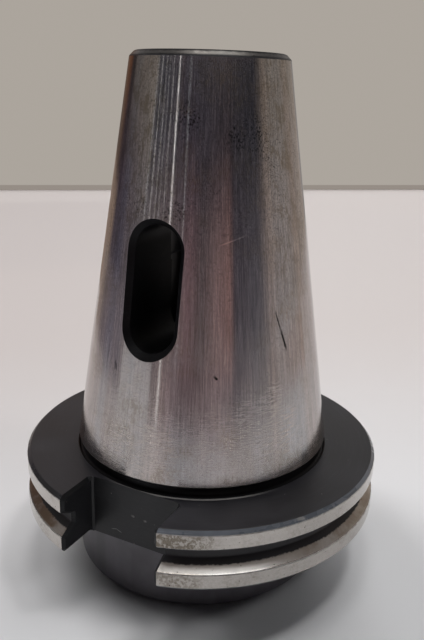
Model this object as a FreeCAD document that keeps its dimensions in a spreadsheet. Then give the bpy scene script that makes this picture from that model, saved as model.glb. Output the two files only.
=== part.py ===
import FreeCAD, Part
import Sketcher
import enum
import math
import os

# Taper adapter: one turned, milled and ground piece of hardened steel.
# It stands on its nose: the origin is the centre of the nose face and +Z runs up the axis to the
# small end of the 7/24 taper. The two driving slots and the drift window face -Y and +Y.

# Driving sizes, in millimetres and degrees
SIZES = {
    # Steep taper, size 50
    "gauge_diameter": 69.85,
    "gauge_height": 34.925,
    "shank_length": 101.6,
    "taper_fall": 7,
    "taper_span": 24,
    "taper_overrun": 0.35,
    "end_chamfer": 1.36,
    # Flange and its gripper groove
    "flange_diameter": 98.425,
    "flange_thickness": 15.875,
    "flange_setback": 3.175,
    "flange_chamfer": 0.94,
    "groove_mouth": 6.83,
    "groove_depth": 3.9,
    "groove_flank_angle": 30,
    # Relief between the flange and the taper
    "relief_lip": 0.17,
    "relief_depth": 1.1,
    "relief_dip": 0.7,
    "relief_radius": 0.8,
    "relief_bevel": 1.0,
    # Nose
    "nose_diameter": 69.85,
    "nose_chamfer": 0.9,
    # Driving slots
    "key_slot_width": 25.78,
    "key_floor_land": 0.26,
    "key_slot_corner": 0.45,
    "key_slot_chamfer": 0.9,
    # Drift window through the taper
    "window_width": 12.7,
    "window_length": 31.2,
    "window_height": 81.2,
    "window_chamfer": 1.5,
    # Morse socket number 3, from the nose face
    "socket_diameter": 23.825,
    "socket_taper": 19.922,
    "socket_depth": 84,
    "socket_chamfer": 1.2,
    "tang_bore": 20.4,
    # Threaded hole for the retention knob, from the small end
    "thread_core": 22.23,
    "thread_depth": 37.5,
    "thread_point_angle": 59,
    "pilot_diameter": 26.2,
    "pilot_depth": 7.5,
    "pilot_chamfer": 0.8,
}

# Heights and radii that follow from the driving sizes
FLANGE_REAR = "(Sizes.gauge_height - Sizes.flange_setback)"
FLANGE_FRONT = f"({FLANGE_REAR} - Sizes.flange_thickness)"
GROOVE_MIDDLE = f"({FLANGE_REAR} - Sizes.flange_thickness / 2)"
SMALL_END = "(Sizes.gauge_height + Sizes.shank_length)"
FLANGE_RADIUS = "(Sizes.flange_diameter / 2)"
NOSE_RADIUS = "(Sizes.nose_diameter / 2)"
GAUGE_RADIUS = "(Sizes.gauge_diameter / 2)"
TAPER_SLOPE = "(Sizes.taper_fall / Sizes.taper_span / 2)"
TAPER_FOOT = "(Sizes.gauge_height - Sizes.taper_overrun)"
FOOT_RADIUS = f"({GAUGE_RADIUS} + {TAPER_SLOPE} * Sizes.taper_overrun)"
LIP_RADIUS = f"({FOOT_RADIUS} + Sizes.relief_lip)"
NECK_RADIUS = f"({FOOT_RADIUS} - Sizes.relief_depth)"
RELIEF_BOTTOM = f"({FLANGE_REAR} - Sizes.relief_dip)"
END_EDGE_HEIGHT = f"({SMALL_END} - Sizes.end_chamfer)"
END_EDGE_RADIUS = f"({GAUGE_RADIUS} - {TAPER_SLOPE} * (Sizes.shank_length - Sizes.end_chamfer))"
END_FACE_RADIUS = f"({END_EDGE_RADIUS} - Sizes.end_chamfer)"
GROOVE_ROOT_RADIUS = f"({FLANGE_RADIUS} - Sizes.groove_depth)"
GROOVE_MOUTH_HALF = "(Sizes.groove_mouth / 2)"
GROOVE_ROOT_HALF = f"({GROOVE_MOUTH_HALF} - Sizes.groove_depth * tan(Sizes.groove_flank_angle * 1deg))"
KEY_FLOOR = f"(max({NOSE_RADIUS}; {LIP_RADIUS}) + Sizes.key_floor_land)"
KEY_SLOT_HALF = "(Sizes.key_slot_width / 2)"
WINDOW_HALF = "(Sizes.window_width / 2)"
WINDOW_LOW = "(Sizes.window_height - Sizes.window_length / 2)"
WINDOW_HIGH = "(Sizes.window_height + Sizes.window_length / 2)"
WINDOW_LOW_CENTRE = f"({WINDOW_LOW} + {WINDOW_HALF})"
WINDOW_HIGH_CENTRE = f"({WINDOW_HIGH} - {WINDOW_HALF})"
SOCKET_RADIUS = "(Sizes.socket_diameter / 2)"
SOCKET_END_RADIUS = f"({SOCKET_RADIUS} - Sizes.socket_depth / Sizes.socket_taper / 2)"
SOCKET_EDGE_RADIUS = f"({SOCKET_RADIUS} - Sizes.socket_chamfer / Sizes.socket_taper / 2)"
TANG_BORE_RADIUS = "(Sizes.tang_bore / 2)"
TANG_BORE_STEP = f"({TANG_BORE_RADIUS} - {SOCKET_END_RADIUS})"
THREAD_RADIUS = "(Sizes.thread_core / 2)"
THREAD_BOTTOM = f"({SMALL_END} - Sizes.thread_depth)"
THREAD_POINT = f"(({THREAD_RADIUS} - {TANG_BORE_RADIUS}) / tan(Sizes.thread_point_angle * 1deg))"
PILOT_RADIUS = "(Sizes.pilot_diameter / 2)"
PILOT_BOTTOM = f"({SMALL_END} - Sizes.pilot_depth)"

OVERCUT = 4.0
TOLERANCE = 0.001


class Spot(enum.IntEnum):
    """The points of a sketched curve, in the order in which a sketch counts them."""

    START = enum.auto()
    END = enum.auto()
    CENTRE = enum.auto()


class Axis(enum.IntEnum):
    """A sketch's own axes, which a sketch counts backwards. Its origin is the first one's start."""

    HORIZONTAL = -1
    VERTICAL = -2


def make_sheet(doc):
    """The spreadsheet of driving sizes: each cell a plain number with the size's name as alias."""
    sheet = doc.addObject("Spreadsheet::Sheet", "Sizes")
    for row, (name, value) in enumerate(SIZES.items(), start=1):
        sheet.set(f"A{row}", name.replace("_", " "))
        sheet.set(f"B{row}", str(value))
        sheet.setAlias(f"B{row}", name)
    doc.recompute()
    return sheet


def number(sheet, expression):
    """The value of an expression on the sheet's sizes."""
    value = sheet.evalExpression(str(expression))
    return float(getattr(value, "Value", value))


def place(sheet, x, y):
    """The point of a sketch at two expressions."""
    return FreeCAD.Vector(number(sheet, x), number(sheet, y), 0)


def origin_plane(body, role):
    """One of the body's own three planes."""
    return next(f for f in body.Origin.OriginFeatures if f.Role == role)


def new_sketch(body, name, role, lift=None):
    """An empty sketch on an origin plane of the body, lifted along the plane's normal."""
    sketch = body.newObject("Sketcher::SketchObject", name)
    sketch.AttachmentSupport = (origin_plane(body, role), [""])
    sketch.MapMode = "FlatFace"
    if lift:
        sketch.setExpression(".AttachmentOffset.Base.z", lift)
    return sketch


def pin(sheet, sketch, curve, spot, kind, expression, name):
    """Holds one point of a curve at a distance from the sketch's origin, bound to an expression."""
    held = sketch.addConstraint(Sketcher.Constraint(
        kind, Axis.HORIZONTAL, Spot.START, curve, spot, number(sheet, expression)))
    sketch.renameConstraint(held, name)
    sketch.setExpression(f"Constraints.{name}", expression)


def pin_point(sheet, sketch, curve, name, x, y):
    """Holds the start of a curve at two expressions. One on an axis of the sketch is given as 0."""
    kinds = (("DistanceX", x, Axis.VERTICAL), ("DistanceY", y, Axis.HORIZONTAL))
    for kind, expression, axis in kinds:
        if expression == "0":
            sketch.addConstraint(
                Sketcher.Constraint("PointOnObject", curve, Spot.START, axis))
        else:
            pin(sheet, sketch, curve, Spot.START, kind, expression, f"{name}_{kind[-1].lower()}")


def arc_between(begin, finish, centre):
    """The arc about a centre, anticlockwise from one point to the other."""
    start = math.atan2(begin.y - centre.y, begin.x - centre.x)
    sweep = (math.atan2(finish.y - centre.y, finish.x - centre.x) - start) % (2 * math.pi)
    radius = (begin - centre).Length
    halfway = start + sweep / 2
    middle = centre + FreeCAD.Vector(math.cos(halfway), math.sin(halfway), 0) * radius
    return Part.Arc(begin, middle, finish)


def outline(sheet, sketch, points):
    """
    A closed outline through named points. Each point is (name, x, y) with expressions, or
    (name, x, y, centre x, centre y) where the stretch to the next point is an arc, anticlockwise
    about that centre.
    """
    curves = []
    for (_, x, y, *centre), (_, next_x, next_y, *_) in zip(points, points[1:] + points[:1]):
        begin = place(sheet, x, y)
        finish = place(sheet, next_x, next_y)
        if centre:
            curve = arc_between(begin, finish, place(sheet, *centre))
        else:
            curve = Part.LineSegment(begin, finish)
        curves.append(sketch.addGeometry(curve, False))
    for curve, following, point in zip(curves, curves[1:] + curves[:1], points):
        name, x, y, *centre = point
        sketch.addConstraint(
            Sketcher.Constraint("Coincident", curve, Spot.END, following, Spot.START))
        pin_point(sheet, sketch, curve, name, x, y)
        if centre:
            pin(sheet, sketch, curve, Spot.CENTRE, "DistanceY", centre[-1], f"{name}_centre")


def revolved(body, kind, name, sketch):
    """A full turn of the sketch about the body's axis, added or cut away."""
    feature = body.newObject(kind, name)
    feature.Profile = sketch
    feature.ReferenceAxis = (sketch, ["V_Axis"])
    feature.Angle = 360
    return feature


def add_blank(doc, sheet, body):
    """The turned blank: nose, flange, neck and the 7/24 taper in one profile."""
    sketch = new_sketch(body, "BlankProfile", "XZ_Plane")
    outline(sheet, sketch, [
        ("nose_centre", "0", "0"),
        ("nose_face", f"{NOSE_RADIUS} - Sizes.nose_chamfer", "0"),
        ("nose_edge", NOSE_RADIUS, "Sizes.nose_chamfer"),
        ("nose_root", NOSE_RADIUS, FLANGE_FRONT),
        ("front_face", f"{FLANGE_RADIUS} - Sizes.flange_chamfer", FLANGE_FRONT),
        ("front_edge", FLANGE_RADIUS, f"{FLANGE_FRONT} + Sizes.flange_chamfer"),
        ("rear_edge", FLANGE_RADIUS, f"{FLANGE_REAR} - Sizes.flange_chamfer"),
        ("rear_face", f"{FLANGE_RADIUS} - Sizes.flange_chamfer", FLANGE_REAR),
        ("neck", FOOT_RADIUS, FLANGE_REAR),
        ("taper_foot", FOOT_RADIUS, TAPER_FOOT),
        ("taper_end", END_EDGE_RADIUS, END_EDGE_HEIGHT),
        ("end_face", END_FACE_RADIUS, SMALL_END),
        ("end_centre", "0", SMALL_END),
    ])
    revolved(body, "PartDesign::Revolution", "Blank", sketch)


def add_gripper_groove(doc, sheet, body):
    """The 60 degree groove round the flange, in which a tool changer grips."""
    sketch = new_sketch(body, "GripperGrooveProfile", "XZ_Plane")
    outside = f"{FLANGE_RADIUS} + {OVERCUT}"
    outline(sheet, sketch, [
        ("low_root", GROOVE_ROOT_RADIUS, f"{GROOVE_MIDDLE} - {GROOVE_ROOT_HALF}"),
        ("low_mouth", FLANGE_RADIUS, f"{GROOVE_MIDDLE} - {GROOVE_MOUTH_HALF}"),
        ("low_outside", outside, f"{GROOVE_MIDDLE} - {GROOVE_MOUTH_HALF}"),
        ("high_outside", outside, f"{GROOVE_MIDDLE} + {GROOVE_MOUTH_HALF}"),
        ("high_mouth", FLANGE_RADIUS, f"{GROOVE_MIDDLE} + {GROOVE_MOUTH_HALF}"),
        ("high_root", GROOVE_ROOT_RADIUS, f"{GROOVE_MIDDLE} + {GROOVE_ROOT_HALF}"),
    ])
    revolved(body, "PartDesign::Groove", "GripperGroove", sketch)


def add_relief(doc, sheet, body):
    """The grinding relief round the neck: it undercuts the taper's foot and dips into the flange."""
    sketch = new_sketch(body, "ReliefProfile", "XZ_Plane")
    arc_place = f"{NECK_RADIUS} + Sizes.relief_radius"
    arc_height = f"{RELIEF_BOTTOM} + Sizes.relief_radius"
    outline(sheet, sketch, [
        ("foot", FOOT_RADIUS, TAPER_FOOT),
        ("neck_top", NECK_RADIUS, f"{TAPER_FOOT} - Sizes.relief_bevel"),
        ("neck_bottom", NECK_RADIUS, arc_height, arc_place, arc_height),
        ("dip", arc_place, RELIEF_BOTTOM),
        ("lip", LIP_RADIUS, FLANGE_REAR),
        ("above_lip", LIP_RADIUS, TAPER_FOOT),
    ])
    revolved(body, "PartDesign::Groove", "Relief", sketch)


def add_socket(doc, sheet, body):
    """The Morse socket with its tang bore, open at the nose face."""
    sketch = new_sketch(body, "SocketProfile", "XZ_Plane")
    outline(sheet, sketch, [
        ("mouth_centre", "0", "0"),
        ("mouth", f"{SOCKET_EDGE_RADIUS} + Sizes.socket_chamfer", "0"),
        ("mouth_edge", SOCKET_EDGE_RADIUS, "Sizes.socket_chamfer"),
        ("seat_end", SOCKET_END_RADIUS, "Sizes.socket_depth"),
        ("tang_start", TANG_BORE_RADIUS, f"Sizes.socket_depth + {TANG_BORE_STEP}"),
        ("tang_end", TANG_BORE_RADIUS, THREAD_BOTTOM),
        ("tang_centre", "0", THREAD_BOTTOM),
    ])
    revolved(body, "PartDesign::Groove", "MorseSocket", sketch)


def add_knob_hole(doc, sheet, body):
    """The retention knob's hole in the small end: pilot, thread core and drill point."""
    sketch = new_sketch(body, "KnobHoleProfile", "XZ_Plane")
    outline(sheet, sketch, [
        ("point_centre", "0", f"{THREAD_BOTTOM} - {THREAD_POINT}"),
        ("point_edge", TANG_BORE_RADIUS, f"{THREAD_BOTTOM} - {THREAD_POINT}"),
        ("core_bottom", THREAD_RADIUS, THREAD_BOTTOM),
        ("core_top", THREAD_RADIUS, PILOT_BOTTOM),
        ("pilot_bottom", PILOT_RADIUS, f"{PILOT_BOTTOM} + {PILOT_RADIUS} - {THREAD_RADIUS}"),
        ("pilot_top", PILOT_RADIUS, f"{SMALL_END} - Sizes.pilot_chamfer"),
        ("pilot_mouth", f"{PILOT_RADIUS} + Sizes.pilot_chamfer", SMALL_END),
        ("mouth_centre", "0", SMALL_END),
    ])
    revolved(body, "PartDesign::Groove", "KnobHole", sketch)


def edge_names(shape, test):
    """Names of the edges whose points all pass a test."""
    found = []
    for index, edge in enumerate(shape.Edges, start=1):
        first, last = edge.ParameterRange
        steps = [first + (last - first) * k / 4 for k in range(5)]
        if all(test(edge.valueAt(s)) for s in steps):
            found.append(f"Edge{index}")
    return found


def add_window(doc, sheet, body):
    """The oblong drift window straight through the taper, bevelled where it breaks the ground face."""
    sketch = new_sketch(body, "WindowProfile", "XZ_Plane")
    outline(sheet, sketch, [
        ("right_low", WINDOW_HALF, WINDOW_LOW_CENTRE),
        ("right_high", WINDOW_HALF, WINDOW_HIGH_CENTRE, "0", WINDOW_HIGH_CENTRE),
        ("left_high", f"-{WINDOW_HALF}", WINDOW_HIGH_CENTRE),
        ("left_low", f"-{WINDOW_HALF}", WINDOW_LOW_CENTRE, "0", WINDOW_LOW_CENTRE),
    ])
    pocket = body.newObject("PartDesign::Pocket", "DriftWindow")
    pocket.Profile = sketch
    pocket.Type = "ThroughAll"
    pocket.Midplane = True
    doc.recompute()

    half = number(sheet, WINDOW_HALF)
    low = number(sheet, WINDOW_LOW)
    high = number(sheet, WINDOW_HIGH)
    gauge = number(sheet, "Sizes.gauge_height")
    radius = number(sheet, GAUGE_RADIUS)
    slope = number(sheet, TAPER_SLOPE)

    def on_rim(point):
        outside = radius - slope * (point.z - gauge)
        on_taper = abs(math.hypot(point.x, point.y) - outside) < TOLERANCE
        inside = abs(point.x) < half + TOLERANCE and low - TOLERANCE < point.z < high + TOLERANCE
        return on_taper and inside

    chamfer = body.newObject("PartDesign::Chamfer", "WindowBevel")
    chamfer.Base = (pocket, edge_names(pocket.Shape, on_rim))
    chamfer.setExpression("Size", "Sizes.window_chamfer")


def add_key_slots(doc, sheet, body):
    """The two driving slots across the flange, half a turn apart, with bevelled rims."""
    sketch = new_sketch(body, "KeySlotProfile", "XY_Plane", FLANGE_REAR)
    corner_side = f"({KEY_SLOT_HALF} - Sizes.key_slot_corner)"
    corner_end = f"-({KEY_FLOOR} + Sizes.key_slot_corner)"
    outside = f"-({FLANGE_RADIUS} + {OVERCUT})"
    outline(sheet, sketch, [
        ("floor_left", f"-{corner_side}", f"-{KEY_FLOOR}"),
        ("wall_left", f"-{KEY_SLOT_HALF}", corner_end),
        ("mouth_left", f"-{KEY_SLOT_HALF}", outside),
        ("mouth_right", KEY_SLOT_HALF, outside),
        ("wall_right", KEY_SLOT_HALF, corner_end),
        ("floor_right", corner_side, f"-{KEY_FLOOR}"),
    ])
    pocket = body.newObject("PartDesign::Pocket", "KeySlot")
    pocket.Profile = sketch
    pocket.Type = "Length"
    pocket.setExpression("Length", "Sizes.flange_thickness")
    doc.recompute()
    pattern = body.newObject("PartDesign::PolarPattern", "KeySlots")
    pattern.Originals = [pocket]
    pattern.Axis = (sketch, ["N_Axis"])
    pattern.Angle = 360
    pattern.Occurrences = 2
    body.Tip = pattern
    doc.recompute()

    half = number(sheet, KEY_SLOT_HALF)
    start = number(sheet, f"{KEY_FLOOR} + Sizes.key_slot_corner")

    def on_wall(point):
        return abs(abs(point.x) - half) < TOLERANCE and abs(point.y) > start - TOLERANCE

    def in_corner(point):
        return abs(point.y) < start + TOLERANCE

    shape = pattern.Shape
    rim = [
        name for name in edge_names(shape, on_wall)
        if not all(in_corner(vertex.Point) for vertex in shape.getElement(name).Vertexes)
    ]
    chamfer = body.newObject("PartDesign::Chamfer", "KeySlotBevel")
    chamfer.Base = (pattern, rim)
    chamfer.setExpression("Size", "Sizes.key_slot_chamfer")


def add_adapter(doc, sheet):
    """The whole adapter, feature by feature in the order in which it is machined."""
    body = doc.addObject("PartDesign::Body", "Adapter")
    body.Label = "adapter_body"
    body.Placement = FreeCAD.Placement()
    for step in (add_blank, add_gripper_groove, add_relief, add_socket, add_knob_hole,
                 add_window, add_key_slots):
        step(doc, sheet, body)
        doc.recompute()
    return body


def check(doc, pieces):
    """Stops if any object failed or any piece has no valid solid."""
    failed = [o.Name for o in doc.Objects if {"Invalid", "Error"} & set(o.State)]
    if failed:
        raise RuntimeError(f"failed objects: {failed}")
    for piece in pieces:
        if piece.Shape.isNull() or not piece.Shape.isValid() or len(piece.Shape.Solids) != 1:
            raise RuntimeError(f"{piece.Label} is not one valid solid")


def main():
    doc = FreeCAD.newDocument("TaperAdapter")
    sheet = make_sheet(doc)
    pieces = [add_adapter(doc, sheet)]
    doc.recompute()
    check(doc, pieces)
    os.makedirs("parts", exist_ok=True)
    for piece in pieces:
        piece.Shape.exportStep(os.path.join("parts", f"{piece.Label}.step"))
        box = piece.Shape.BoundBox
        print(f"{piece.Label}: {box.XLength:.3f} x {box.YLength:.3f} x {box.ZLength:.3f} mm,"
              f" volume {piece.Shape.Volume:.1f} mm3")


main()
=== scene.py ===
import logging
import math
from dataclasses import dataclass, field
from enum import IntEnum, auto
from typing import Iterable, Sequence

import bmesh
import bpy
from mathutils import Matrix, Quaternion, Vector


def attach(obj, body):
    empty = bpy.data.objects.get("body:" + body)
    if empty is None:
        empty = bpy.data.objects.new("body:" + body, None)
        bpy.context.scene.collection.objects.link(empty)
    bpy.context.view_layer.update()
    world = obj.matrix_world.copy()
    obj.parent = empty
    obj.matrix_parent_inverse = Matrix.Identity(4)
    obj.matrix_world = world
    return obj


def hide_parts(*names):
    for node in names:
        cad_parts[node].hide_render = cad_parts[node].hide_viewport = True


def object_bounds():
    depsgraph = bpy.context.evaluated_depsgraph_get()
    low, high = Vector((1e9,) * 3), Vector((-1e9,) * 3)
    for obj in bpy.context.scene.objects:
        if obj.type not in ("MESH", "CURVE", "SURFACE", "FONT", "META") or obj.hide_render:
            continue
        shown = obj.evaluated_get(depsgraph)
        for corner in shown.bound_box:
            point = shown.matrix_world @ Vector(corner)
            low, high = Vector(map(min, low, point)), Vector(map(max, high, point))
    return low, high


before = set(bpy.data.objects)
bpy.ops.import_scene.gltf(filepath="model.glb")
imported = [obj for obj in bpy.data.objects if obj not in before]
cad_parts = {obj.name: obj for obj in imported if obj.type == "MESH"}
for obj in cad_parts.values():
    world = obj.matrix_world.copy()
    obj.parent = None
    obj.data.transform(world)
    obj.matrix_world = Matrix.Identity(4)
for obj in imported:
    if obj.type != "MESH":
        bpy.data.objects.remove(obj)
CAD_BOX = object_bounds()

# Everything below is in millimetres and degrees. Meshes are written in metres.
MM = 0.001
# The rim of the flange is the widest part, and the small end's face is the top.
RIM_RADIUS = (CAD_BOX[1][0] - CAD_BOX[0][0]) / MM / 2
FULL_HEIGHT = (CAD_BOX[1][2] - CAD_BOX[0][2]) / MM
COLUMNS = 288
PIECE = "adapter_steel"
NODE = "adapter_body"
BODY = "root"

log = logging.getLogger("adapter")


class Finish(IntEnum):
    """The surfaces of the steel, in the order of its material slots."""

    TAPER = 0
    RIM = auto()
    TURNED_OXIDE = auto()
    # The rim's bevels carry a painted highlight.
    RIM_BEVEL = auto()
    BRIGHT_EDGE = auto()
    END_CHAMFER = auto()
    BORE = auto()
    # The nose's paler oxide is painted light.
    NOSE = auto()
    WORN_LIP = auto()
    MILLED_OXIDE = auto()
    MILLED_BEVEL = auto()
    # The darkest oxide below is painted shade.
    HOLLOW = auto()

    @property
    def is_turned(self) -> bool:
        """Whether the surface runs round the axis."""
        return self < Finish.MILLED_OXIDE


# Turned section


@dataclass(frozen=True)
class Thread:
    """A right-handed vee thread, cut outwards from its core."""

    low: float
    high: float
    pitch: float = 3.175
    depth: float = 1.585
    root_share: float = 0.125
    flank_share: float = 0.3125
    fade: float = 2.2

    def depth_at(self, height: float, azimuth: float) -> float:
        """
        How deep the thread is cut at a place on its wall.

        Args:
            height: The place's height on the axis.
            azimuth: Its angle round the axis, in turns.

        Returns:
            The depth beyond the core's radius.
        """
        turns = height / self.pitch - azimuth
        from_root = abs(turns - round(turns))
        tooth = (self.root_share / 2 + self.flank_share - from_root) / self.flank_share
        ends = min(1.0, (height - self.low) / self.fade, (self.high - height) / self.fade)
        return self.depth * min(1.0, max(0.0, tooth)) * max(0.0, ends)


@dataclass(frozen=True)
class Corner:
    """
    A corner of the turned section, with the finish of the stretch that follows it. Where the edge is
    broken, the break has its own width, finish and number of facets.
    """

    radius: float
    height: float
    finish: Finish
    broken: float = 0.0
    edge: Finish = Finish.BRIGHT_EDGE
    facets: int = 1
    thread: Thread | None = None

    def at(self, azimuth: float) -> Vector:
        """The corner's place in metres, at an angle given in turns."""
        radius = self.radius
        if self.thread:
            radius += self.thread.depth_at(self.height, azimuth)
        angle = math.tau * azimuth
        return Vector((radius * math.cos(angle), radius * math.sin(angle), self.height)) * MM


def break_edges(corners: Sequence[Corner]) -> list[Corner]:
    """
    Breaks the sharp corners of a closed section.

    Args:
        corners: The section's corners, in order.

    Returns:
        The corners of the section with each broken corner replaced by its facets.
    """
    worn: list[Corner] = []
    for index, corner in enumerate(corners):
        if not corner.broken:
            worn.append(corner)
            continue
        here = Vector((corner.radius, corner.height))
        before = corners[index - 1]
        after = corners[(index + 1) % len(corners)]
        entry = here + (Vector((before.radius, before.height)) - here).normalized() * corner.broken
        leave = here + (Vector((after.radius, after.height)) - here).normalized() * corner.broken
        for facet in range(corner.facets + 1):
            share = facet / corner.facets
            place = entry.lerp(here, share).lerp(here.lerp(leave, share), share)
            finish = corner.edge if facet < corner.facets else corner.finish
            worn.append(Corner(place.x, place.y, finish))
    return worn


@dataclass
class SteepTaper:
    """The 7/24 taper above the flange, ground all over, with the small end's chamfer."""

    gauge_radius: float = 34.925
    gauge_height: float = 34.925
    slope: float = 7 / 48
    overrun: float = 0.35
    end_chamfer: float = 1.36
    end_height: float = FULL_HEIGHT

    def radius_at(self, height: float) -> float:
        """The taper's radius at a height."""
        return self.gauge_radius - self.slope * (height - self.gauge_height)

    @property
    def foot_height(self) -> float:
        """Where the taper's large end breaks into the relief."""
        return self.gauge_height - self.overrun

    @property
    def foot_radius(self) -> float:
        """The taper's largest radius."""
        return self.radius_at(self.foot_height)

    @property
    def edge_height(self) -> float:
        """Where the taper meets the small end's chamfer."""
        return self.end_height - self.end_chamfer

    @property
    def face_radius(self) -> float:
        """The outer radius of the small end's face."""
        return self.radius_at(self.edge_height) - self.end_chamfer

    def corners(self) -> list[Corner]:
        """The section from the taper's foot up to the small end's face."""
        edge_radius = self.radius_at(self.edge_height)
        return [
            Corner(self.foot_radius, self.foot_height, Finish.TAPER, 0.12),
            Corner(edge_radius, self.edge_height, Finish.END_CHAMFER, 0.18, Finish.TURNED_OXIDE),
            Corner(self.face_radius, self.end_height, Finish.TURNED_OXIDE, 0.3, Finish.HOLLOW),
        ]


@dataclass
class Flange:
    """The flange with its gripper groove, and the relief that divides it from the taper."""

    taper: SteepTaper
    radius: float = RIM_RADIUS
    thickness: float = 15.875
    setback: float = 3.175
    chamfer: float = 0.94
    groove_mouth: float = 6.83
    groove_depth: float = 3.9
    groove_angle: float = 30.0
    lip: float = 0.17
    lip_band: float = 0.8
    relief_depth: float = 1.1
    relief_dip: float = 0.7
    relief_radius: float = 0.8
    relief_bevel: float = 1.0
    relief_facets: int = 8

    @property
    def rear(self) -> float:
        """Height of the face towards the taper."""
        return self.taper.gauge_height - self.setback

    @property
    def front(self) -> float:
        """Height of the face towards the nose."""
        return self.rear - self.thickness

    @property
    def groove_root_radius(self) -> float:
        """Radius of the gripper groove's bottom."""
        return self.radius - self.groove_depth

    @property
    def lip_radius(self) -> float:
        """Where the relief opens in the rear face."""
        return self.taper.foot_radius + self.lip

    def rim(self) -> list[Corner]:
        """The section from the front face over the rim and the groove to the rear face."""
        middle = (self.front + self.rear) / 2
        mouth = self.groove_mouth / 2
        root = mouth - self.groove_depth * math.tan(math.radians(self.groove_angle))
        shoulder = self.radius - self.chamfer
        return [
            Corner(shoulder, self.front, Finish.RIM_BEVEL, 0.1, Finish.TURNED_OXIDE),
            Corner(self.radius, self.front + self.chamfer, Finish.RIM, 0.14),
            Corner(self.radius, middle - mouth, Finish.RIM, 0.16),
            Corner(self.groove_root_radius, middle - root, Finish.TURNED_OXIDE, 0.25,
                   Finish.TURNED_OXIDE, 3),
            Corner(self.groove_root_radius, middle + root, Finish.RIM, 0.25, Finish.TURNED_OXIDE, 3),
            Corner(self.radius, middle + mouth, Finish.RIM, 0.16),
            Corner(self.radius, self.rear - self.chamfer, Finish.RIM_BEVEL, 0.14),
            Corner(shoulder, self.rear, Finish.TURNED_OXIDE, 0.1, Finish.TURNED_OXIDE),
        ]

    def relief(self) -> list[Corner]:
        """The section from the rear face's lip, through the relief, up to the taper's foot."""
        neck = self.taper.foot_radius - self.relief_depth
        centre = Vector((neck, self.rear - self.relief_dip)) + Vector((1, 1)) * self.relief_radius
        corners = [Corner(self.lip_radius + self.lip_band, self.rear, Finish.WORN_LIP),
                   Corner(self.lip_radius, self.rear, Finish.HOLLOW, 0.15, Finish.TAPER)]
        for step in range(self.relief_facets + 1):
            angle = math.pi / 2 * step / self.relief_facets
            corners.append(Corner(centre.x - self.relief_radius * math.sin(angle),
                                  centre.y - self.relief_radius * math.cos(angle),
                                  Finish.HOLLOW))
        corners.append(Corner(neck, self.taper.foot_height - self.relief_bevel, Finish.HOLLOW))
        return corners


@dataclass
class Nose:
    """The plain cylinder below the flange, on which the adapter stands."""

    radius: float = 34.925
    chamfer: float = 0.9

    def corners(self, flange: Flange) -> list[Corner]:
        """The section from the nose face up to the flange's front face."""
        return [
            Corner(self.radius - self.chamfer, 0, Finish.NOSE, 0.12, Finish.NOSE),
            Corner(self.radius, self.chamfer, Finish.NOSE, 0.12, Finish.NOSE),
            Corner(self.radius, flange.front, Finish.TURNED_OXIDE, 0.35, Finish.TURNED_OXIDE, 3),
        ]


@dataclass
class KnobHole:
    """The retention knob's hole in the small end: a pilot bore above a threaded one."""

    taper: SteepTaper
    core_radius: float = 11.115
    depth: float = 37.5
    point_angle: float = 59.0
    pilot_radius: float = 13.1
    pilot_depth: float = 7.5
    chamfer: float = 0.8
    rows_per_turn: int = 12

    @property
    def bottom(self) -> float:
        """Height of the thread's lower end."""
        return self.taper.end_height - self.depth

    def corners(self, tang_radius: float) -> list[Corner]:
        """
        The section from the small end's face down to the tang bore.

        Args:
            tang_radius: The radius of the bore that the hole runs into.

        Returns:
            The hole's corners, from the top down.
        """
        top = self.taper.end_height
        pilot_bottom = top - self.pilot_depth
        seat = pilot_bottom + self.pilot_radius - self.core_radius
        thread = Thread(self.bottom, pilot_bottom)
        rows = math.floor((thread.high - thread.low) / thread.pitch * self.rows_per_turn)
        corners = [
            Corner(self.pilot_radius + self.chamfer, top, Finish.BORE, 0.12),
            Corner(self.pilot_radius, top - self.chamfer, Finish.BORE, 0.12),
            Corner(self.pilot_radius, seat, Finish.BORE),
        ]
        for row in range(rows + 1):
            height = thread.high + (thread.low - thread.high) * row / rows
            corners.append(Corner(self.core_radius, height, Finish.BORE, thread=thread))
        point = (self.core_radius - tang_radius) / math.tan(math.radians(self.point_angle))
        corners.append(Corner(tang_radius, self.bottom - point, Finish.TURNED_OXIDE))
        return corners


@dataclass
class MorseSocket:
    """The number 3 Morse socket, open at the nose, with the clearance bore for the tang above it."""

    mouth_radius: float = 11.9125
    slope: float = 1 / 19.922 / 2
    depth: float = 84.0
    # Above this height the socket wall gets the oxide's black instead of ground steel: painted shade where
    # the socket is seen through the window.
    shaded_above: float = 60.0
    tang_radius: float = 10.2
    chamfer: float = 1.2

    def radius_at(self, height: float) -> float:
        """The socket's radius at a height."""
        return self.mouth_radius - self.slope * height

    def corners(self) -> list[Corner]:
        """The section from the tang bore down to the socket's mouth."""
        seat_radius = self.radius_at(self.depth)
        edge_radius = self.radius_at(self.chamfer)
        step = self.depth + self.tang_radius - seat_radius
        return [
            Corner(self.tang_radius, step, Finish.TURNED_OXIDE),
            Corner(seat_radius, self.depth, Finish.TURNED_OXIDE),
            Corner(self.radius_at(self.shaded_above), self.shaded_above, Finish.BORE),
            Corner(edge_radius, self.chamfer, Finish.BORE, 0.12),
            Corner(edge_radius + self.chamfer, 0, Finish.TURNED_OXIDE, 0.12),
        ]


# Mesh making


def mesh_object(name: str, form: bmesh.types.BMesh, materials: Iterable[bpy.types.Material] = ()
                ) -> bpy.types.Object:
    """
    Puts a finished form into the scene and frees it.

    Args:
        name: The new object's name.
        form: The form, in metres.
        materials: Its material slots, in order.

    Returns:
        The new object.
    """
    bmesh.ops.recalc_face_normals(form, faces=form.faces)
    mesh = bpy.data.meshes.new(name)
    form.to_mesh(mesh)
    form.free()
    for material in materials:
        mesh.materials.append(material)
    made = bpy.data.objects.new(name, mesh)
    bpy.context.scene.collection.objects.link(made)
    return made


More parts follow.
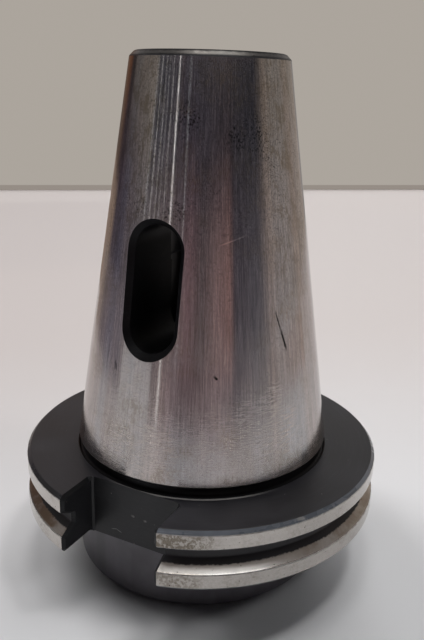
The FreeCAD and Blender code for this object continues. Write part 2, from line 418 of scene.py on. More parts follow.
def join(form: bmesh.types.BMesh, row: Sequence[bmesh.types.BMVert],
         following: Sequence[bmesh.types.BMVert], slot: int = 0, closed: bool = True) -> None:
    """
    Joins two rows of corners with faces.

    Args:
        form: The form that has the corners.
        row: The first row.
        following: The second one, with as many corners.
        slot: The faces' material slot.
        closed: Whether the rows run round to their first corner.
    """
    for index in range(len(row) if closed else len(row) - 1):
        beside = (index + 1) % len(row)
        face = form.faces.new((row[index], row[beside], following[beside], following[index]))
        face.material_index = slot


def turn_section(corners: Sequence[Corner]) -> bmesh.types.BMesh:
    """A full turn of a closed section about the vertical axis."""
    form = bmesh.new()
    rings = [[form.verts.new(corner.at(column / COLUMNS)) for column in range(COLUMNS)]
             for corner in corners]
    for ring, following, corner in zip(rings, rings[1:] + rings[:1], corners):
        join(form, ring, following, corner.finish)
    return form


def loft(loops: Sequence[Sequence[Vector]], finishes: Sequence[Finish]) -> bmesh.types.BMesh:
    """
    A closed form over loops with the same number of points, capped at both ends.

    Args:
        loops: The loops of points, in millimetres.
        finishes: The finish of each stretch between two loops.

    Returns:
        The form, in metres.
    """
    form = bmesh.new()
    rings = [[form.verts.new(point * MM) for point in loop] for loop in loops]
    for ring, following, finish in zip(rings, rings[1:], finishes):
        join(form, ring, following, finish)
    for ring in (rings[0], rings[-1]):
        form.faces.new(ring).material_index = finishes[0]
    return form


def cut(blank: bpy.types.Object, cutter: bmesh.types.BMesh) -> None:
    """
    Cuts a form out of a solid for good.

    Args:
        blank: The object that is cut.
        cutter: The closed form that is taken away.
    """
    tool = mesh_object("cutter", cutter, blank.data.materials)
    modifier = blank.modifiers.new("cut", "BOOLEAN")
    modifier.operation = "DIFFERENCE"
    modifier.solver = "EXACT"
    modifier.object = tool
    bpy.context.view_layer.update()
    graph = bpy.context.evaluated_depsgraph_get()
    result = bpy.data.meshes.new_from_object(blank.evaluated_get(graph))
    blank.modifiers.remove(modifier)
    spent = [blank.data, tool.data]
    blank.data = result
    bpy.data.objects.remove(tool)
    for mesh in spent:
        bpy.data.meshes.remove(mesh)


@dataclass
class DriftWindow:
    """The oblong window for the drift key, straight through the taper and bevelled all round."""

    taper: SteepTaper
    width: float = 12.7
    length: float = 31.2
    height: float = 81.2
    bevel: float = 1.5
    reach: float = 45.0
    overshoot: float = 0.25
    steps: int = 28

    def outline(self, grown: float) -> list[Vector]:
        """
        The oblong in the plane of X and Z, grown outwards by a margin.

        Args:
            grown: The margin.

        Returns:
            Its points, as vectors with no Y.
        """
        half = self.width / 2
        rise = self.length / 2 - half
        points = []
        for side in (1, -1):
            for step in range(self.steps + 1):
                angle = math.pi * step / self.steps
                points.append(Vector((side * math.cos(angle) * (half + grown), 0,
                                      self.height + side * (rise + math.sin(angle) * (half + grown)))))
        return points

    def on_taper(self, points: Iterable[Vector], side: int, raised: float) -> list[Vector]:
        """The points moved along Y onto the taper's surface, or above it."""
        placed = []
        for point in points:
            radius = self.taper.radius_at(point.z)
            depth = math.sqrt(radius * radius - point.x * point.x) + raised
            placed.append(Vector((point.x, side * depth, point.z)))
        return placed

    def cutter(self) -> bmesh.types.BMesh:
        """The form that is milled away, with a flare at each end."""
        inner = self.outline(0)
        outer = self.outline(self.bevel)
        loops = []
        for side in (-1, 1):
            deep = self.on_taper(inner, side, -self.bevel)
            flush = self.on_taper(outer, side, 0)
            flared = [a + (b - a) * (1 + self.overshoot) for a, b in zip(deep, flush)]
            away = [Vector((p.x, side * self.reach, p.z)) for p in flared]
            loops += [away, flared, deep] if side < 0 else [deep, flared, away]
        return loft(loops, [Finish.HOLLOW] * (len(loops) - 1))


@dataclass
class DrivingSlots:
    """The two slots across the flange for the spindle's keys, with bevelled rims."""

    flange: Flange
    nose: Nose
    width: float = 25.78
    land: float = 0.26
    corner: float = 0.45
    bevel: float = 0.9
    margin: float = 4.0
    overshoot: float = 0.06
    run_in: float = 0.1
    run_out: float = 1.2

    @property
    def floor(self) -> float:
        """Distance of the slots' floors from the axis."""
        return max(self.flange.lip_radius, self.nose.radius) + self.land

    def slot_cutter(self, side: int) -> bmesh.types.BMesh:
        """The form milled away for the slot on one side."""
        half = self.width / 2
        outside = self.flange.radius + self.margin
        plan = [
            (self.corner - half, self.floor), (-half, self.floor + self.corner), (-half, outside),
            (half, outside), (half, self.floor + self.corner), (half - self.corner, self.floor),
        ]
        low, high = self.flange.front - self.margin, self.flange.rear + self.margin
        loops = [[Vector((x, side * y, z)) for x, y in plan] for z in (low, high)]
        return loft(loops, [Finish.MILLED_OXIDE])

    def section_rim(self) -> list[Vector]:
        """The flange's section from the front face to the rear face, as radius and height."""
        rim = [Vector((corner.radius, corner.height)) for corner in self.flange.rim()]
        half = self.width / 2
        ends = [math.hypot(half, self.floor + beyond) for beyond in (self.run_in, self.run_out)]
        front = [Vector((radius, self.flange.front)) for radius in ends]
        rear = [Vector((radius, self.flange.rear)) for radius in reversed(ends)]
        return [*front, *rim, *rear]

    def bevel_cutter(self, side: int, wall: int) -> bmesh.types.BMesh:
        """
        The form filed away along the rim of one wall, which runs out at the slot's floor.

        Args:
            side: 1 for the slot at the back, -1 for the one at the front.
            wall: 1 for its wall towards +X, -1 for the other.

        Returns:
            A three-sided rod that follows the flange's section.
        """
        rim = self.section_rim()
        loops = []
        for index, (place, inwards) in enumerate(zip(rim, inset_directions(rim))):
            bevel = self.overshoot if index in (0, len(rim) - 1) else self.bevel
            extra = self.overshoot
            loop = []
            for beyond, depth in ((-extra, bevel + extra), (bevel + extra, -extra), (-extra, -extra)):
                inset = place + inwards * depth
                x = self.width / 2 + beyond
                y = math.sqrt(inset.x * inset.x - x * x)
                loop.append(Vector((wall * x, side * y, inset.y)))
            loops.append(loop)
        return loft(loops, [Finish.MILLED_BEVEL] * (len(loops) - 1))


def inset_directions(path: Sequence[Vector]) -> list[Vector]:
    """
    The way in which each point of an open path moves when the path is inset by one.

    Args:
        path: The path's points, with the material on their left.

    Returns:
        One vector a point, mitred at the corners.
    """
    normals = []
    for begin, finish in zip(path, path[1:]):
        along = (finish - begin).normalized()
        normals.append(Vector((-along.y, along.x)))
    moves = [normals[0]]
    for before, after in zip(normals, normals[1:]):
        moves.append((before + after) / (1 + before.dot(after)))
    moves.append(normals[-1])
    return moves


# Shader building


class Signal:
    """A number that a shader works out. Arithmetic on it adds Math nodes."""

    def __init__(self, recipe: "Recipe", socket: bpy.types.NodeSocket) -> None:
        """Wraps an output socket of the recipe's tree."""
        self.recipe = recipe
        self.socket = socket

    def apply(self, operation: str, *others: "Signal | float", flipped: bool = False) -> "Signal":
        """
        Adds a Math node.

        Args:
            operation: The Math node's operation.
            others: The other operands.
            flipped: Whether this signal is the second operand.

        Returns:
            The node's result.
        """
        operands = [self, *others]
        if flipped:
            operands.reverse()
        node = self.recipe.add("ShaderNodeMath", {"operation": operation},
                               dict(enumerate(operands)))
        return Signal(self.recipe, node.outputs[0])

    def __add__(self, other: "Signal | float") -> "Signal":
        """This plus another."""
        return self.apply("ADD", other)

    def __radd__(self, other: float) -> "Signal":
        """A number plus this."""
        return self.apply("ADD", other)

    def __sub__(self, other: "Signal | float") -> "Signal":
        """This minus another."""
        return self.apply("SUBTRACT", other)

    def __rsub__(self, other: float) -> "Signal":
        """A number minus this."""
        return self.apply("SUBTRACT", other, flipped=True)

    def __mul__(self, other: "Signal | float") -> "Signal":
        """This times another."""
        return self.apply("MULTIPLY", other)

    def __rmul__(self, other: float) -> "Signal":
        """A number times this."""
        return self.apply("MULTIPLY", other)

    def __truediv__(self, other: "Signal | float") -> "Signal":
        """This over another."""
        return self.apply("DIVIDE", other)

    def __rtruediv__(self, other: float) -> "Signal":
        """A number over this."""
        return self.apply("DIVIDE", other, flipped=True)

    def __pow__(self, other: "Signal | float") -> "Signal":
        """This to a power."""
        return self.apply("POWER", other)

    def __abs__(self) -> "Signal":
        """This without its sign."""
        return self.apply("ABSOLUTE")

    def fade(self, low: float, high: float, start: float = 0.0, end: float = 1.0) -> "Signal":
        """
        A smooth change from one value to another.

        Args:
            low: Where the change begins.
            high: Where it is complete.
            start: The value at and before its beginning.
            end: The value at and after its end.

        Returns:
            The changing value.
        """
        node = self.recipe.add(
            "ShaderNodeMapRange",
            {"interpolation_type": "SMOOTHSTEP"},
            {"Value": self, "From Min": low, "From Max": high, "To Min": start, "To Max": end},
        )
        return Signal(self.recipe, node.outputs[0])


Colour = tuple[float, float, float]


class Recipe:
    """A node tree for a material or the world, written as expressions."""

    def __init__(self, owner: bpy.types.Material | bpy.types.World) -> None:
        """Clears the owner's tree, ready for new nodes."""
        owner.use_nodes = True
        self.tree = owner.node_tree
        self.tree.nodes.clear()

    def add(self, kind: str, settings: dict[str, object] | None = None,
            sockets: dict[str | int, object] | None = None) -> bpy.types.Node:
        """
        Adds a node.

        Args:
            kind: The node's type.
            settings: Its properties, set first. "stops" are a ramp's places and colours.
            sockets: Values or links of its input sockets, by name or number.

        Returns:
            The new node.
        """
        node = self.tree.nodes.new(kind)
        for name, value in (settings or {}).items():
            if name == "stops":
                self.set_stops(node.color_ramp, value)
            else:
                setattr(node, name, value)
        for name, value in (sockets or {}).items():
            socket = node.inputs[name]
            if isinstance(value, Signal):
                value = value.socket
            if isinstance(value, bpy.types.NodeSocket):
                self.tree.links.new(value, socket)
            elif socket.type == "RGBA":
                socket.default_value = (*value, 1.0)
            else:
                socket.default_value = value
        return node

    @staticmethod
    def set_stops(ramp: bpy.types.ColorRamp, stops: Sequence[tuple[float, Colour]]) -> None:
        """Gives a ramp its stops, each a place and a colour."""
        while len(ramp.elements) < len(stops):
            ramp.elements.new(1.0)
        for element, (place, colour) in zip(ramp.elements, stops):
            element.position = place
            element.color = (*colour, 1.0)

    def vector(self, x: Signal | float, y: Signal | float, z: Signal | float
               ) -> bpy.types.NodeSocket:
        """Three numbers as a vector."""
        return self.add("ShaderNodeCombineXYZ", None, {0: x, 1: y, 2: z}).outputs[0]

    def noise(self, place: bpy.types.NodeSocket, scale: float, detail: float = 2.0,
              rough: float = 0.5) -> Signal:
        """A cloudy signal about one half, with so many features to the millimetre."""
        node = self.add("ShaderNodeTexNoise", {"noise_dimensions": "3D"},
                        {"Vector": place, "Scale": scale, "Detail": detail, "Roughness": rough})
        return Signal(self, node.outputs[0])

    def distance(self, place: bpy.types.NodeSocket, centre: tuple[float, float, float]) -> Signal:
        """How far a place is from a fixed one."""
        node = self.add("ShaderNodeVectorMath", {"operation": "DISTANCE"}, {0: place, 1: centre})
        return Signal(self, node.outputs["Value"])

    def specks(self, place: bpy.types.NodeSocket, scale: float) -> Signal:
        """Distance to the nearest of scattered points, in spans of their spacing."""
        node = self.add("ShaderNodeTexVoronoi", {"feature": "F1"}, {"Vector": place, "Scale": scale})
        return Signal(self, node.outputs["Distance"])

    def blend(self, share: Signal | float, first: object, second: object) -> bpy.types.NodeSocket:
        """
        Mixes two colours.

        Args:
            share: How much of the second colour there is.
            first: A colour, or a socket that gives one.
            second: The other colour.

        Returns:
            The mixed colour's socket.
        """
        node = self.add("ShaderNodeMix", {"data_type": "RGBA"}, {0: share, 6: first, 7: second})
        return node.outputs[2]

    def layered(self, colour: object, *layers: tuple[Signal | float, Colour]
                ) -> bpy.types.NodeSocket:
        """A colour with others laid over it in turn, each with the share that it covers."""
        for share, over in layers:
            colour = self.blend(share, colour, over)
        return colour

    def bump(self, height: Signal, distance: float) -> bpy.types.NodeSocket:
        """A normal that follows a height, whose full range is the given distance."""
        node = self.add("ShaderNodeBump", None, {"Height": height, "Distance": distance * MM})
        return node.outputs[0]

    def surface(self, **sockets: object) -> None:
        """Ends a material with a Principled surface. Names stand for sockets, with _ for spaces."""
        named = {name.replace("_", " "): value for name, value in sockets.items()}
        shader = self.add("ShaderNodeBsdfPrincipled", None, named)
        self.add("ShaderNodeOutputMaterial", None, {"Surface": shader.outputs[0]})

    def glow(self, tone: object) -> None:
        """Ends a material with a glow of one tone, or of a socket's."""
        shader = self.add("ShaderNodeEmission", None, {"Color": tone})
        self.add("ShaderNodeOutputMaterial", None, {"Surface": shader.outputs[0]})


@dataclass
class TurnedPlace:
    """Where a point of the steel lies: its height, radius and angle round the axis."""

    recipe: Recipe

    def __post_init__(self) -> None:
        """Adds the nodes that work the place out."""
        coordinates = self.recipe.add("ShaderNodeTexCoord")
        split = self.recipe.add("ShaderNodeSeparateXYZ", None, {0: coordinates.outputs["Object"]})
        x, y, z = (Signal(self.recipe, output) / MM for output in split.outputs)
        self.x = x
        self.y = y
        self.height = z
        self.radius = (x * x + y * y) ** 0.5
        self.right = x / self.radius
        self.back = y / self.radius
        self.solid = self.recipe.vector(x, y, z)

    def azimuth(self) -> Signal:
        """The angle from -Y towards +X, in degrees."""
        return self.x.apply("ARCTAN2", self.y * -1) * math.degrees(1)

    def along_axis(self, girth: float, squash: float) -> bpy.types.NodeSocket:
        """
        A space in which features are drawn out along the axis.

        Args:
            girth: The radius at which the space is true to size.
            squash: How much shorter the axis counts.

        Returns:
            The space's vector.
        """
        return self.recipe.vector(self.right * girth, self.back * girth, self.height * squash)

    def round_axis(self, squash: float) -> bpy.types.NodeSocket:
        """A space in which features are drawn out round the axis."""
        return self.recipe.vector(self.x * squash, self.y * squash, self.height)

    def by_radius(self, squash: float) -> bpy.types.NodeSocket:
        """A space for faces square to the axis, with features drawn out round it."""
        return self.recipe.vector(self.right * squash, self.back * squash, self.radius)


# Finishes


def new_material(name: str) -> tuple[bpy.types.Material, Recipe]:
    """An empty material and the recipe that fills it."""
    material = bpy.data.materials.new(name)
    return material, Recipe(material)


@dataclass(frozen=True)
class Mark:
    """A straight stroke on a turned surface between two places, each an azimuth and a height."""

    start: tuple[float, float]
    end: tuple[float, float]
    width: float
    ragged: float = 0.3
    girth: float = 28.0

    def mask(self, azimuth: Signal, height: Signal, noise: Signal) -> Signal:
        """
        Where the stroke lies.

        Args:
            azimuth: The surface's azimuth.
            height: Its height.
            noise: A fine cloud that makes its rim ragged.

        Returns:
            1 on the stroke and 0 off it.
        """
        arc = math.radians(self.girth)
        across = (self.end[0] - self.start[0]) * arc
        upwards = self.end[1] - self.start[1]
        length = math.hypot(across, upwards)
        x = (azimuth - self.start[0]) * (arc * across / length)
        z = (height - self.start[1]) * (upwards / length)
        along = x + z
        off = abs((azimuth - self.start[0]) * (arc * upwards / length)
                  - (height - self.start[1]) * (across / length))
        taper = along.fade(-self.width, length * 0.35) * along.fade(length, length * 0.7)
        rim = off + (noise - 0.5) * (2 * self.ragged * self.width)
        return rim.fade(self.width / 2, self.width / 4) * taper


Patches = tuple[tuple[float, float, float, float], ...]


@dataclass(frozen=True)
class GroundTaperFinish:
    """
    Ground steel, polished by the spindle: drawn out streaks, tarnish, pits, dents and fretting. A
    patch of pits or of rubbed steel is an azimuth, a height, a reach and a strength.
    """

    steel: Colour = (0.50, 0.475, 0.455)
    cool: Colour = (0.44, 0.45, 0.485)
    warm: Colour = (0.52, 0.44, 0.42)
    tarnish: Colour = (0.30, 0.25, 0.20)
    pit: Colour = (0.010, 0.009, 0.009)
    smudged: Colour = (0.22, 0.19, 0.15)
    fretted: Colour = (0.66, 0.60, 0.55)
    shade: Colour = (0.19, 0.18, 0.18)
    girth: float = 28.0
    pitted: Patches = (
        (13.6, 121.0, 6.5, 0.78), (-9.0, 128.0, 7.0, 0.35), (41.5, 116.0, 4.5, 0.68),
        (54.0, 118.0, 8.0, 0.6), (66.0, 110.5, 5.0, 0.4), (59.0, 100.5, 4.5, 0.65),
        (74.0, 103.0, 4.5, 0.55), (-11.0, 100.3, 4.5, 0.8), (12.0, 100.5, 4.5, 0.8),
        (4.0, 99.5, 3.0, 0.6), (72.0, 118.0, 17.0, 0.42), (30.0, 124.0, 12.0, 0.35),
    )
    rubbed: Patches = (
        (-6.0, 58.0, 6.0, 0.7), (-9.0, 41.0, 12.0, 0.8), (57.0, 47.0, 13.0, 0.9),
        (6.0, 44.0, 8.0, 0.5),
    )
    scratch: Mark = Mark((32.7, 92.7), (50.8, 95.6), 0.42, 0.2, 26.3)
    nicks: tuple[Mark, ...] = (
        Mark((64.0, 76.8), (67.3, 71.0), 0.42, girth=28.5),
        Mark((66.6, 72.4), (70.6, 65.4), 0.75, girth=29.2),
        Mark((-17.4, 62.2), (-16.2, 59.8), 0.6, girth=31.0),
        Mark((33.0, 61.9), (34.2, 61.2), 0.8, girth=31.0),
    )

    def make(self) -> bpy.types.Material:
        """Builds the material."""
        material, recipe = new_material("ground_taper")
        place = TurnedPlace(recipe)
        azimuth = place.azimuth()
        long_space = place.along_axis(self.girth, 0.012)
        tints = recipe.noise(long_space, 0.13, 1.5)
        streaks = recipe.noise(long_space, 1.3, 3.0, 0.65)
        hairs = recipe.noise(place.along_axis(self.girth, 0.03), 3.4, 2.0, 0.6)
        clouds = recipe.noise(place.solid, 0.09, 4.0, 0.62)
        grain = recipe.noise(place.along_axis(self.girth, 0.35), 2.6, 3.0, 0.6)

        combed = place.height.fade(48.0, 92.0, 0.7, 1.0)
        grit = recipe.noise(place.solid, 1.9, 3.0, 0.75)
        gritty = place.height.fade(40.0, 84.0, 0.6, 1.0)
        tarnished = clouds.fade(0.45, 0.68) * grain.fade(0.36, 0.60)
        flecks = recipe.noise(place.solid, 3.0, 2.0, 0.6)
        higher = place.height.fade(64.0, 104.0, 0.15, 1.0)
        smudge = recipe.noise(place.along_axis(self.girth, 0.6), 0.42, 4.0, 0.75)
        beside = 1 - azimuth.fade(-2.0, 8.0) * azimuth.fade(68.0, 60.0) * 0.7
        unrolled = recipe.vector(azimuth * math.radians(self.girth), place.height, 0.0)
        fretting = self.fretting(recipe, place, unrolled)
        fine = recipe.noise(place.solid, 2.4, 2.0)
        dark = self.pits(recipe, place, unrolled, fine)
        for nick in self.nicks:
            dark = dark.apply("MAXIMUM", nick.mask(azimuth, place.height, fine))
        scratched = self.scratch.mask(azimuth, place.height, fine)

        colour = recipe.layered(
            recipe.blend(tints.fade(0.38, 0.62), self.cool, self.warm),
            (0.5, self.steel),
            (streaks.fade(0.62, 0.36, 0.0, 0.2), self.shade),
            (hairs.fade(0.60, 0.34, 0.0, 0.42) * combed, self.shade),
            (hairs.fade(0.58, 0.72, 0.0, 0.5) * combed, self.fretted),
            (grit.fade(0.52, 0.35, 0.0, 0.55) * gritty, self.shade),
            (tarnished * 0.65, self.tarnish),
            (flecks.fade(0.52, 0.68) * higher * 0.45, self.pit),
            (smudge.fade(0.50, 0.61) * higher * beside * 0.6, self.smudged),
            (fretting * 0.75, self.fretted),
            (dark, self.pit),
            (scratched * 0.8, self.fretted),
        )
        roughness = (0.10 + hairs.fade(0.35, 0.7, 0.0, 0.04) + tarnished * 0.06
                     + fretting * 0.14)
        relief = streaks * 0.2 + hairs * 0.2 + grain * 0.2 + fretting * 1.3
        recipe.surface(Base_Color=colour, Metallic=1.0, Roughness=roughness, Anisotropic=0.9,
                       Anisotropic_Rotation=0.25, Normal=recipe.bump(relief, 0.006))
        return material

    def spot(self, azimuth: float, height: float) -> tuple[float, float, float]:
        """A place on the unrolled taper."""
        return (math.radians(azimuth) * self.girth, height, 0.0)

    def fretting(self, recipe: Recipe, place: TurnedPlace, unrolled: bpy.types.NodeSocket) -> Signal:
        """Fine lines round the foot of the taper, where the spindle's mouth rubs."""
        lines = recipe.noise(place.round_axis(0.12), 3.4, 2.0, 0.7)
        clouds = recipe.noise(place.solid, 0.16, 3.0, 0.6)
        share = place.height.fade(64.0, 38.0, 0.0, 0.42) * clouds.fade(0.38, 0.56)
        for azimuth, height, reach, strength in self.rubbed:
            patch = recipe.distance(unrolled, self.spot(azimuth, height)) / reach + (clouds - 0.5) * 2
            share = share + patch.fade(1.0, 0.2) * strength
        return lines.fade(0.47, 0.60) * share.apply("MINIMUM", 1.0)

    def pits(self, recipe: Recipe, place: TurnedPlace, unrolled: bpy.types.NodeSocket,
             fine: Signal) -> Signal:
        """Small dark pits, scattered towards the small end and crowded in patches."""
        crowd = recipe.noise(place.solid, 0.075, 3.0, 0.6)
        thick = crowd.fade(0.46, 0.72) * place.height.fade(66.0, 122.0, 0.08, 0.5)
        for azimuth, height, reach, strength in self.pitted:
            off = recipe.distance(unrolled, self.spot(azimuth, height))
            thick = thick + off.fade(reach, 0.3 * reach) * strength
        thick = thick.apply("MINIMUM", 1.0)
        coarse = thick * thick * 0.15 - recipe.specks(place.solid, 0.7) + (fine - 0.5) * 0.34
        small = thick * 0.38 - recipe.specks(place.solid, 1.8) + (fine - 0.5) * 0.36
        return coarse.fade(-0.02, 0.04).apply("MAXIMUM", small.fade(-0.02, 0.08) * 0.85)


@dataclass(frozen=True)
class GroundRimFinish:
    """The ground rim and groove flanks: warm grey with brown stains, black at the groove's bottom."""

    steel: Colour = (0.53, 0.497, 0.463)
    stain: Colour = (0.20, 0.172, 0.135)
    groove_brown: Colour = (0.22, 0.15, 0.095)
    spot: Colour = (0.09, 0.075, 0.06)
    line: Colour = (0.36, 0.34, 0.32)
    oxide: Colour = (0.018, 0.017, 0.019)
    groove_mouth: tuple[float, float] = (RIM_RADIUS - 0.06, RIM_RADIUS - 0.51)
    ground_from: float = RIM_RADIUS - 2.16

    def make(self) -> bpy.types.Material:
        """Builds the material."""
        material, recipe = new_material("ground_rim")
        place = TurnedPlace(recipe)
        lines = recipe.noise(place.round_axis(0.1), 2.6, 2.0, 0.6)
        radial_lines = recipe.noise(place.by_radius(4.0), 2.2, 2.0, 0.6)
        clouds = recipe.noise(place.solid, 0.13, 4.0, 0.65)
        mottle = recipe.noise(place.solid, 1.2, 3.0, 0.68)
        in_groove = place.radius.fade(*self.groove_mouth)
        azimuth = place.azimuth()
        aside = 1 - azimuth.fade(-4.0, 10.0) * azimuth.fade(66.0, 50.0) * 0.85
        beside_slot = azimuth.fade(8.0, 14.0) * azimuth.fade(34.0, 20.0)
        upper = place.height.fade(22.0, 25.0, 0.45, 1.0)
        stained = clouds.fade(0.46, 0.68, 0.08, 0.42) + beside_slot * upper * 1.2
        stained = stained * mottle.fade(0.38, 0.60, 0.15, 1.1) * (1 - in_groove * 0.8)
        # Brown in the groove, strongest away from azimuths -4 to 66.
        browned = in_groove * clouds.fade(0.34, 0.60) * aside * azimuth.fade(-10.0, 10.0, 0.85, 0.5)
        spots = recipe.specks(place.solid, 0.85).fade(0.17, 0.10) * mottle.fade(0.46, 0.58)
        edge = place.radius + (mottle - 0.5) * 0.8 + (clouds - 0.5) * 0.7
        bare = edge.fade(self.ground_from - 0.2, self.ground_from + 0.15)
        ground = recipe.layered(
            self.steel,
            (lines.fade(0.35, 0.65, 0.0, 0.16), self.line),
            (stained.apply("MINIMUM", 0.9), self.stain),
            (browned, self.groove_brown),
            (spots * 0.7, self.spot),
        )
        colour = recipe.blend(bare, self.oxide, ground)

        roughness = (0.15 + in_groove * 0.13 + (stained + browned) * 0.14 + spots * 0.2
                     + (1 - bare) * 0.2)
        relief = lines * 0.4 + radial_lines * 0.3 + mottle * 0.3 - spots
        recipe.surface(Base_Color=colour, Metallic=bare * 0.9 + 0.1, Roughness=roughness,
                       Anisotropic=0.5, Anisotropic_Rotation=0.25,
                       Normal=recipe.bump(relief, 0.012))
        return material


@dataclass(frozen=True)
class OxideFinish:
    """Black oxide over machined steel, with faint tool marks, scuffs and specks."""

    name: str
    base: Colour = (0.012, 0.0115, 0.0138)
    scuff: Colour = (0.085, 0.08, 0.08)
    speck: Colour = (0.26, 0.24, 0.22)
    scarred: Colour = (0.26, 0.25, 0.24)
    blackest: Colour = (0.011, 0.011, 0.012)
    roughness: float = 0.40
    turned: bool = True
    scuffed: float = 0.35
    grit: float = 0.6
    shine: float = 0.5
    scars: tuple[Mark, ...] = ()
    # The two fields below fade a pale base, painted as a highlight, into black by azimuth.
    highlight_gone_below: float | None = None
    highlight_fade_span: float = 26.0

    def make(self) -> bpy.types.Material:
        """Builds the material."""
        material, recipe = new_material(self.name)
        place = TurnedPlace(recipe)
        clouds = recipe.noise(place.solid, 0.06, 4.0, 0.6)
        mottle = recipe.noise(place.solid, 0.9, 4.0, 0.7)
        if self.turned:
            marks = recipe.noise(place.by_radius(1.5), 3.2, 2.0, 0.6)
        else:
            marks = recipe.noise(place.round_axis(0.15), 2.4, 2.0, 0.6)
        paler = tuple(level * 2.0 + 0.004 for level in self.base)
        rubbed = clouds.fade(0.46, 0.68) * mottle.fade(0.44, 0.68) * marks.fade(0.42, 0.62)
        specks = recipe.specks(place.solid, 0.33).fade(0.075, 0.045) * mottle.fade(0.5, 0.56)
        layers = [
            (clouds.fade(0.35, 0.7, 0.0, 0.6), paler),
            (marks.fade(0.5, 0.72, 0.0, 0.5), paler),
            (rubbed * self.scuffed, self.scuff),
            (specks * self.grit, self.speck),
        ]
        azimuth = place.azimuth()
        # Past the given azimuth the colour fades into black, so that a pale base painted as a highlight
        # ends there.
        if self.highlight_gone_below is not None:
            no_highlight = azimuth.fade(self.highlight_gone_below + self.highlight_fade_span, self.highlight_gone_below)
            layers.append((no_highlight, self.blackest))
        for scar in self.scars:
            layers.append((scar.mask(azimuth, place.height, mottle) * 0.8, self.scarred))
        roughness = self.roughness + clouds.fade(0.35, 0.7, -0.05, 0.06) - rubbed * 0.08
        relief = marks * 0.8 + mottle * 0.3 + specks
        recipe.surface(Base_Color=recipe.layered(self.base, *layers), Metallic=rubbed * 0.5,
                       Roughness=roughness, Specular_IOR_Level=self.shine,
                       Normal=recipe.bump(relief, 0.014))
        return material


@dataclass(frozen=True)
class BareFinish:
    """Bare machined steel: bright worn edges, the small end's chamfer and the bores."""

    name: str
    steel: Colour = (0.62, 0.60, 0.57)
    dull: Colour = (0.28, 0.26, 0.24)
    roughness: float = 0.3
    wear: tuple[float, float] = (0.40, 0.60)
    lines: float = 2.0
    metallic: float = 1.0
    highlight_between: tuple[float, float] | None = None
    ragged: float = 0.25
    oxide: Colour = (0.022, 0.021, 0.022)

    def make(self) -> bpy.types.Material:
        """Builds the material."""
        material, recipe = new_material(self.name)
        place = TurnedPlace(recipe)
        marks = recipe.noise(place.round_axis(0.08), self.lines, 3.0, 0.6)
        mottle = recipe.noise(place.solid, 0.55, 4.0, 0.65)
        dulled = mottle.fade(*self.wear)
        colour = recipe.layered(self.steel, (dulled, self.dull),
                                (marks.fade(0.4, 0.65, 0.0, 0.3), self.dull))
        # The band between the two heights keeps the lighter steel as a painted highlight; elsewhere the
        # colour is the oxide's black.
        if self.highlight_between:
            low, high = self.highlight_between
            height = place.height + (mottle - 0.5) * (2 * self.ragged)
            bare = (height.fade(low - self.ragged, low + self.ragged)
                    * height.fade(high + self.ragged, high - self.ragged))
            colour = recipe.blend(bare, self.oxide, colour)
        roughness = self.roughness + dulled * 0.14
        recipe.surface(Base_Color=colour, Metallic=self.metallic, Roughness=roughness,
                       Normal=recipe.bump(marks + mottle * 0.4, 0.01))
        return material


def finishes() -> list[bpy.types.Material]:
    """The steel's materials, in the order of Finish."""
    slot_nicks = tuple(Mark(start, end, width, girth=35.2) for start, end, width in (
        ((-0.9, 23.9), (0.0, 23.8), 0.8), ((5.0, 23.6), (5.7, 23.7), 0.7),
        ((-11.4, 18.2), (-8.6, 18.6), 0.3), ((-9.2, 18.6), (-6.2, 17.9), 0.3)))
    made = {
        Finish.TAPER: GroundTaperFinish().make(),
        Finish.RIM: GroundRimFinish().make(),
        Finish.TURNED_OXIDE: OxideFinish("turned_oxide").make(),
        # The rim's bevels have a pale bluish base: a painted highlight, which fades into black below
        # azimuth -22.
        Finish.RIM_BEVEL: OxideFinish("highlit_rim_bevel", (0.082, 0.090, 0.105), (0.2, 0.2, 0.21),
                                      roughness=0.30, scuffed=0.4, highlight_gone_below=-22.0, scars=(
                                          Mark((55.6, 31.6), (58.8, 31.2), 0.8, girth=48.0),
                                      )).make(),
        Finish.BRIGHT_EDGE: BareFinish("bright_edge", (0.52, 0.50, 0.48), (0.32, 0.30, 0.28), 0.4,
                                       metallic=0.4).make(),
        # The small end's chamfer has a painted highlight along a band in its middle, with the oxide's black
        # above and below it.
        Finish.END_CHAMFER: BareFinish("end_chamfer", (0.21, 0.20, 0.19), (0.10, 0.095, 0.09), 0.26,
                                       (0.25, 0.85), highlight_between=(FULL_HEIGHT - 1.075, FULL_HEIGHT - 0.375)
                                       ).make(),
        # The nose's oxide is far paler than the rest: painted light, standing in for the light that the
        # table throws up under the flange.
        Finish.NOSE: OxideFinish("nose_oxide_painted_light", (0.100, 0.093, 0.104), (0.17, 0.16, 0.17),
                                 roughness=0.36, scuffed=0.4).make(),
        Finish.BORE: BareFinish("bored_steel", (0.42, 0.40, 0.37), (0.16, 0.13, 0.10), 0.28,
                                (0.42, 0.66), 3.0).make(),
        # A pale band on the ring round the lip, over azimuths -16 to 62.
        Finish.WORN_LIP: OxideFinish("pale_lip", scars=(
            Mark((-16, 31.75), (62, 31.75), 2.0, 0.2, 35.5),)).make(),
        Finish.MILLED_OXIDE: OxideFinish("milled_oxide", (0.012, 0.012, 0.0135), roughness=0.42,
                                         turned=False, shine=0.4, scars=slot_nicks).make(),
        Finish.MILLED_BEVEL: OxideFinish("milled_bevel", (0.010, 0.010, 0.011), (0.12, 0.12, 0.12),
                                         turned=False, scuffed=0.3, shine=0.2).make(),
        # This oxide is far darker than the rest: painted shade in the window and the relief, and a painted
        # dark line on the small end's outer edge.
        Finish.HOLLOW: OxideFinish("shade_darkened_oxide", (0.0035, 0.0033, 0.004), (0.02, 0.02, 0.02),
                                   turned=False, scuffed=0.3, grit=0.0, shine=0.12).make(),
    }
    return [made[finish] for finish in Finish]


# The adapter


